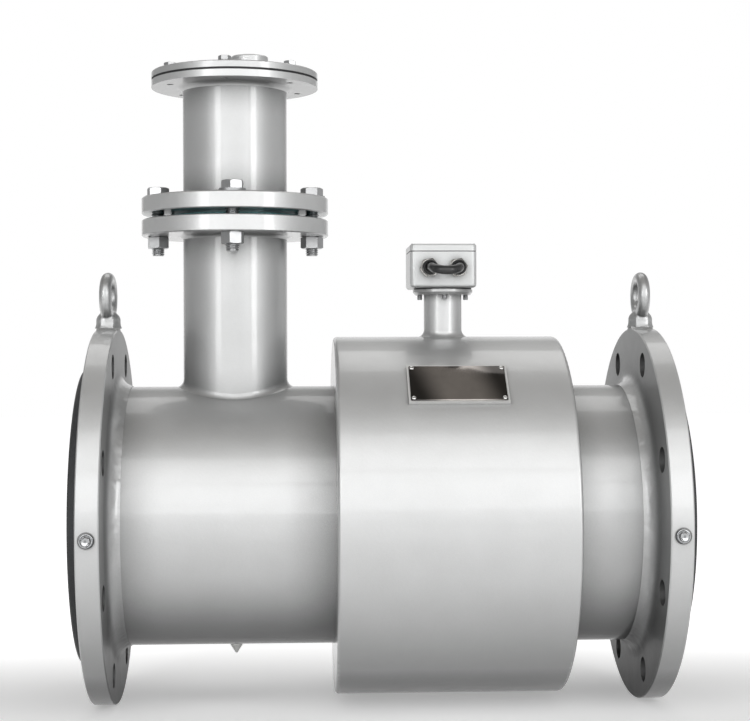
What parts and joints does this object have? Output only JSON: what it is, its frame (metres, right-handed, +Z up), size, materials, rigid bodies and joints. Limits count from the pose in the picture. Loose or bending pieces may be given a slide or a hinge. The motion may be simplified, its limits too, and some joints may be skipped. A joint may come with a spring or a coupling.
{
  "type": "electromagnetic flow meter",
  "caption": "Flanged electromagnetic flow meter for a pipe: lined tube, round coil housing, bolted level chimney with cover, and a junction box on a neck.",
  "frame": {"origin": "centre of the inlet flange's outer metal face, on the pipe axis", "axes": "+X along the pipe axis with the flow, from the inlet flange to the outlet flange; +Z up the chimney; -Y is the front, with the nameplate, the cable glands and the earthing screws"},
  "size_m": [0.533, 0.3452, 0.59],
  "materials": {
    "silver_paint": "semi-gloss silver-grey paint with a soft orange peel",
    "box_paint": "smooth pale grey baked paint on cast aluminium",
    "liner_rubber": "matt black moulded rubber",
    "gasket_rubber": "matt black sheet rubber",
    "gasket_fibre": "matt blue-green compressed fibre",
    "zinc_steel": "zinc-plated steel, lightly brushed",
    "electrode_steel": "turned stainless steel",
    "white_insulator": "waxy white fluoroplastic",
    "copper_winding": "varnished copper wire, wound in even turns",
    "core_steel": "grey electrical steel",
    "terminal_plastic": "moulded grey-green plastic",
    "gland_nickel": "nickel-plated turned brass",
    "gland_nylon": "black moulded nylon",
    "cable_jacket": "smooth black cable jacket",
    "lead_jacket": "thin coloured wire insulation",
    "polished_plate": "mirror-polished stainless plate, bare",
    "rivet_aluminium": "drawn aluminium"
  },
  "bodies": {
    "root": {"branch_flange": "silver_paint", "branch_pipe": "silver_paint", "cable_loop": "cable_jacket", "coil_leads": "lead_jacket", "cover_gasket": "gasket_rubber", "cover_screws": "zinc_steel", "cover_washers": "zinc_steel", "drain_plug": "electrode_steel", "earth_screws": "zinc_steel", "earth_washers": "zinc_steel", "electrode_nuts": "zinc_steel", "flux_yoke": "core_steel", "front_electrode": "electrode_steel", "front_electrode_sleeve": "white_insulator", "gland_bodies": "gland_nickel", "gland_caps": "gland_nylon", "gland_locknuts": "gland_nickel", "gland_seals": "gasket_rubber", "housing_inlet_plate": "silver_paint", "housing_outlet_plate": "silver_paint", "housing_shell": "silver_paint", "inlet_flange": "silver_paint", "joint_bolts": "zinc_steel", "joint_gasket": "gasket_fibre", "joint_nuts": "zinc_steel", "joint_washers": "zinc_steel", "junction_box": "box_paint", "junction_box_lid": "box_paint", "lid_screws": "zinc_steel", "lid_seal": "gasket_rubber", "lifting_eyes": "silver_paint", "lower_coil": "copper_winding", "lower_pole_shoe": "core_steel", "measuring_tube": "silver_paint", "nameplate": "polished_plate", "nameplate_pad": "silver_paint", "nameplate_rivets": "rivet_aluminium", "neck_flange": "silver_paint", "neck_gasket": "gasket_rubber", "neck_pipe": "silver_paint", "neck_screws": "zinc_steel", "outlet_flange": "silver_paint", "rear_electrode": "electrode_steel", "rear_electrode_sleeve": "white_insulator", "riser_foot_flange": "silver_paint", "riser_pipe": "silver_paint", "riser_top_flange": "silver_paint", "sensor_socket": "silver_paint", "signal_leads": "lead_jacket", "socket_plug": "electrode_steel", "terminal_block": "terminal_plastic", "terminal_screws": "zinc_steel", "top_cover": "silver_paint", "tube_liner": "liner_rubber", "upper_coil": "copper_winding", "upper_pole_shoe": "core_steel"}
  },
  "joints": []
}
